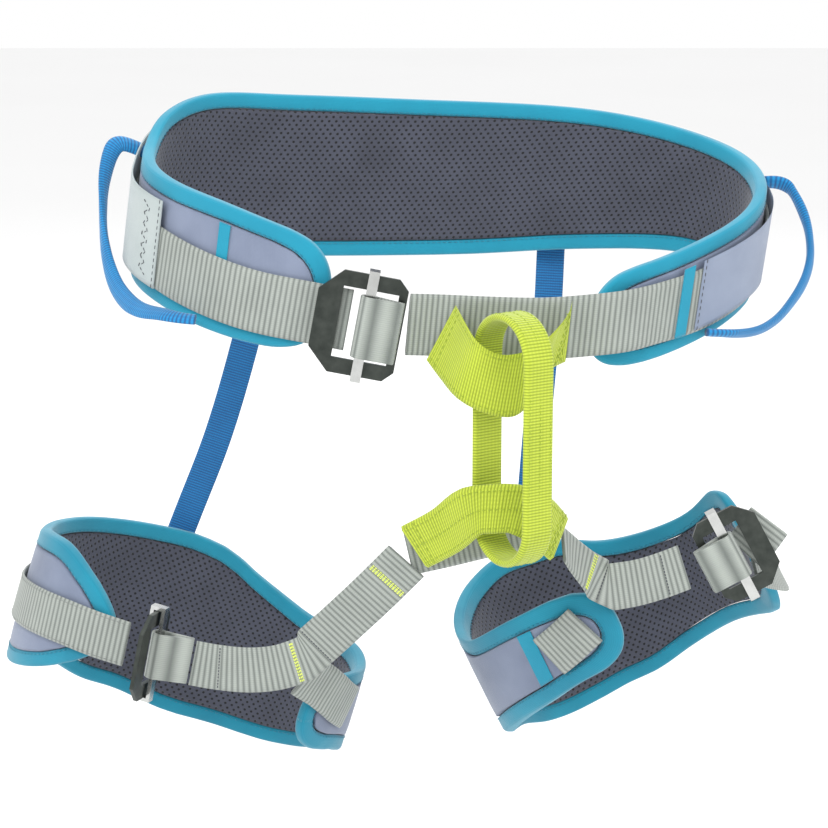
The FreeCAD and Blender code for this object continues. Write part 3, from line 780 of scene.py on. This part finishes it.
def build_grey_straps():
    """Grey webbing of the belt and leg loops, with its sewn joints."""
    rails = {}
    for node in ("waist_webbing", "leg_bridge_webbing", "leg_left_outer_strap", "leg_left_tongue_strap",
                 "leg_right_outer_strap", "leg_right_strap_tail", "leg_right_tongue_strap"):
        rails[node] = strap(node, GREY, "grey_webbing")
    for node, side_name in (("leg_left_outer_strap", "left"), ("leg_right_outer_strap", "right")):
        side = outward_side(rails[node])
        for share in (0.06, 0.94):
            line, normals = row_on(rails[node], share, side, 0.02, 0.98)
            stitches("edge_%s_%d" % (side_name, share * 100), line, normals, GREY_THREAD, BODY_OF[node],
                     "grey_webbing", radius=0.2 * MM)
    side = outward_side(rails["waist_webbing"])
    for number, at in enumerate((0.02, 0.075, 0.4, 0.46)):
        line, normals = cross_row(rails["waist_webbing"], at, side)
        stitches("belt_seam_%d" % number, line, normals, DARK_THREAD, "waist_belt", "grey_webbing")


def build_front_straps():
    """Strap from the leg bridge to each leg buckle: one ribbon that turns with the leg loop."""
    for side_name in ("left", "right"):
        rise = "rise_strap_" + side_name
        front = "leg_%s_front_strap" % side_name
        rails = joined(open_rails(rise), open_rails(front))
        middle = (rails[0] + rails[1]) / 2
        piece = webbing("web_" + front, *rails, GREY)
        bend(piece)
        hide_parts(rise, front)
        side = outward_side(rails)
        for label, at, material, rows in STRAP_SEAMS[side_name]:
            for number in range(rows):
                share = at + number * 0.9 * MM / length_of(middle)
                line, normals = cross_row(rails, share, side, 0.08)
                sewn = stitches("%s_%s_%d" % (label, side_name, number), line, normals, material, None,
                                None, stitch=1.5 * MM, gap=0.2 * MM, radius=0.36 * MM)
                bend(sewn)


def build_tie_in():
    """Lime tie-in flap and sleeve with their stitched rows."""
    for node, shares in (
        ("upper_tie_in_loop", (0.08, 0.92)),
        ("lower_tie_in_sleeve", (0.12, 0.5, 0.88)),
    ):
        rails = strap(node, LIME, "lime_webbing", rib=FINE_RIB, relief=FINE_RELIEF)
        side = outward_side(rails)
        for number, share in enumerate(shares):
            line, normals = row_on(rails, share, side, 0.03, 0.97)
            stitches("row_%s_%d" % (node, number), line, normals, OLIVE_THREAD, BODY_OF[node], "lime_webbing")
        for number, at in enumerate((0.03, 0.07, 0.93, 0.97)):
            line, normals = cross_row(rails, at, side)
            stitches("end_%s_%d" % (node, number), line, normals, OLIVE_THREAD, BODY_OF[node], "lime_webbing")
        line, normals = zigzag(rails, 0.95, side, 1.6 * MM, 11)
        stitches("block_" + node, line, normals, OLIVE_THREAD, BODY_OF[node], "lime_webbing", gap=0.1 * MM)


def build_belay_loop():
    """Closed ring of stitched lime webbing."""
    node = "belay_loop"
    loops = closed_loops(node, RAIL_POINTS)[:4]
    guide = loops[0]
    loops = [guide] + [match_loop(loop, guide) for loop in loops[1:]]
    near, *others = sorted(loops[1:], key=lambda loop: spread(loop, guide))
    low = (guide + near) / 2
    high = (others[0] + others[1]) / 2
    thick = ((guide - near) + (others[0] - others[1])) / 2
    piece = webbing("web_belay_loop", low, high, thick, LIME, rib=FINE_RIB, relief=FINE_RELIEF,
                    closed=True)
    place(piece, BODY_OF[node], "lime_webbing", node)
    for number, share in enumerate((0.14, 0.5, 0.86)):
        line = low + (high - low) * share + thick / 2
        stitches("row_belay_%d" % number, line, unit(thick), OLIVE_THREAD, BODY_OF[node], "lime_webbing",
                 closed=True)


def build_risers():
    """Elastic straps from the belt's back to each leg loop, in thirds, each crossing one joint."""
    into_leg_loop = 11 * MM
    into_belt = 8 * MM
    for side_name in ("left", "right"):
        node = "riser_" + side_name
        rails = open_rails(node)
        if rails[0][0, 2] < rails[0][-1, 2]:
            rails = turned(rails)
        low, high = (lengthened(smooth(rail, 40), into_leg_loop) for rail in rails[:2])
        low, high = (lengthened(rail[::-1], into_belt)[::-1] for rail in (low, high))
        cuts = (0, 133, 266, 399)
        for number in range(3):
            first, last = cuts[number], cuts[number + 1]
            part = slice(first, last + 1)
            piece = webbing("web_%s_%d" % (node, number), low[part], high[part], rails[2][part], RISER_BLUE,
                            rib=FINE_RIB, relief=0.05 * MM)
            bend(piece)
            if number == 0:
                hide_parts(node)


def centre_line(node, bins=40):
    """Middle line of a twisted tape, from distances walked over its surface."""
    mesh, points = merged_mesh(node)

    def distances(start):
        found = np.full(len(points), np.inf)
        found[start] = 0
        queue = [start]
        while queue:
            current = queue.pop(0)
            for edge in mesh.verts[current].link_edges:
                other = edge.other_vert(mesh.verts[current]).index
                reach = found[current] + edge.calc_length()
                if reach < found[other] - 1e-9:
                    found[other] = reach
                    queue.append(other)
        return found

    end = int(np.argmax(distances(0)))
    walked = distances(end)
    mesh.free()
    edges = np.linspace(0, walked.max() + 1e-9, bins + 1)
    middle = [points[(walked >= a) & (walked < b)].mean(axis=0) for a, b in zip(edges, edges[1:])
              if ((walked >= a) & (walked < b)).any()]
    return smooth(np.array(middle), 4)


def tucked_in(line, share_moved, reach):
    """A line whose two ends are carried inward, into the belt they are sewn to."""
    share = np.linspace(0, 1, len(line))
    pull = np.clip(1 - np.minimum(share, 1 - share) / share_moved, 0, 1)[:, None] ** 2
    return line + unit(-line) * pull * reach


def build_gear_loops():
    """Soft tape loops at the hips: a flattened tube that turns over along its length."""
    half_width = 5.4 * MM
    half_depth = 2.4 * MM
    for node in ("gear_loop_left", "gear_loop_right"):
        line = tucked_in(smooth(resample(centre_line(node), 220), 12), 0.08, 8 * MM)
        along = tangents(line, False)
        across = unit(np.cross(along, np.array([0.0, 0.0, 1.0])))
        normal = unit(np.cross(across, along))
        rings = []
        uvs = []
        steps = 16
        run = np.linspace(0, length_of(line), len(line))
        twist = np.linspace(0.2, math.pi * 0.75, len(line))[:, None]
        wide = across * np.cos(twist) + normal * np.sin(twist)
        flat = -across * np.sin(twist) + normal * np.cos(twist)
        for step in range(steps):
            angle = 2 * math.pi * step / steps
            rings.append(line + wide * (half_width * math.cos(angle)) + flat * (half_depth * math.sin(angle)))
            uvs.append(np.stack([run, np.full(len(line), angle * 2.5 * MM)], axis=1))
        piece = ring_mesh("tape_" + node, rings, uvs, BLUE)
        place(piece, BODY_OF[node], "blue_tape", node)


def soften_edges(piece, width):
    bevel = piece.modifiers.new("soft_edges", "BEVEL")
    bevel.width = width
    bevel.segments = 3
    bevel.limit_method = "ANGLE"


def build_folds():
    """Webbing folded round each buckle's bar, ribs running with the bar."""
    for node in ("waist_buckle_fold", "leg_left_buckle_fold", "leg_right_buckle_fold"):
        source, points = merged_mesh(node)
        faces = [tuple(vertex.index for vertex in face.verts) for face in source.faces]
        source.free()
        middle = points.mean(axis=0)
        axes = np.linalg.svd(points - middle, full_matrices=False)[2]
        local = (points - middle) @ axes.T
        spans = np.ptp(local, axis=0)
        bar = int(np.argmax(spans))
        others = [axis for axis in range(3) if axis != bar]
        angle = np.arctan2(local[:, others[1]], local[:, others[0]])
        radius = np.linalg.norm(local[:, others], axis=1).mean()
        uv = np.stack([angle * radius, local[:, bar]], axis=1)
        piece = add_mesh("web_" + node, points, faces, GREY, uv)
        soften_edges(piece, 0.5 * MM)
        place(piece, BODY_OF[node], "grey_webbing", node)


def build_buckles():
    """CAD buckle plates and bars keep their shape, with softened edges and metal finishes."""
    for prefix in ("waist_buckle", "leg_left_buckle", "leg_right_buckle"):
        for part, material, slot, width in (
            ("frame", GUNMETAL, "buckle_frame", 0.8 * MM),
            ("bar", CHROME, "buckle_bar", 0.5 * MM),
        ):
            piece = NODES["%s_%s" % (prefix, part)]
            piece.data.materials.clear()
            piece.data.materials.append(material)
            soften_edges(piece, width)


# ---------------------------------------------------------------- studio


def build_studio():
    """Pale floor, soft lights, and a camera looking along +Y from a little above."""
    low, high = (np.array(corner) for corner in CAD_BOX)
    middle = (low + high) / 2
    floor_z = low[2] - 60 * MM
    floor = add_mesh("studio_floor", [(-6, -6, floor_z), (6, -6, floor_z), (6, 6, floor_z), (-6, 6, floor_z)],
                     [(0, 1, 2, 3)], pale("studio_floor"), shade=False)
    world = bpy.data.worlds.new("studio")
    bpy.context.scene.world = world
    world.use_nodes = True
    world.node_tree.nodes["Background"].inputs[0].default_value = (1, 1, 1, 1)
    world.node_tree.nodes["Background"].inputs[1].default_value = 1.0
    bpy.context.scene.view_settings.view_transform = "Standard"
    for name, where, power, size in (
        ("key", (-0.9, -1.3, 1.3), 22, 1.2),
        ("fill", (1.2, -1.0, 0.7), 9, 1.4),
        ("back", (0.1, 1.3, 1.2), 14, 1.2),
    ):
        light = bpy.data.lights.new(name, "AREA")
        light.energy = power
        light.size = size
        lamp = bpy.data.objects.new(name, light)
        bpy.context.scene.collection.objects.link(lamp)
        lamp.location = where
        lamp.rotation_euler = (Vector(middle) - lamp.location).to_track_quat("-Z", "Y").to_euler()
    elevation = math.radians(13)
    distance = 1.6
    target = Vector((-0.0265, 0.0, -0.107))
    eye = target + Vector((0, -math.cos(elevation), math.sin(elevation))) * distance
    camera = bpy.data.objects.new("camera", bpy.data.cameras.new("camera"))
    camera.data.lens = 112.7
    camera.data.sensor_width = 36
    camera.location = eye
    camera.rotation_euler = (target - eye).to_track_quat("-Z", "Y").to_euler()
    bpy.context.scene.collection.objects.link(camera)
    bpy.context.scene.camera = camera


def pale(name):
    shader = Shader(name, 0.9)
    return shader.finish(shader.mix(shader.noise(2), (0.9, 0.9, 0.9), (0.93, 0.93, 0.93)))


build_pads()
build_covers()
build_grey_straps()
build_front_straps()
build_tie_in()
build_belay_loop()
build_risers()
build_gear_loops()
build_folds()
build_buckles()
build_studio()
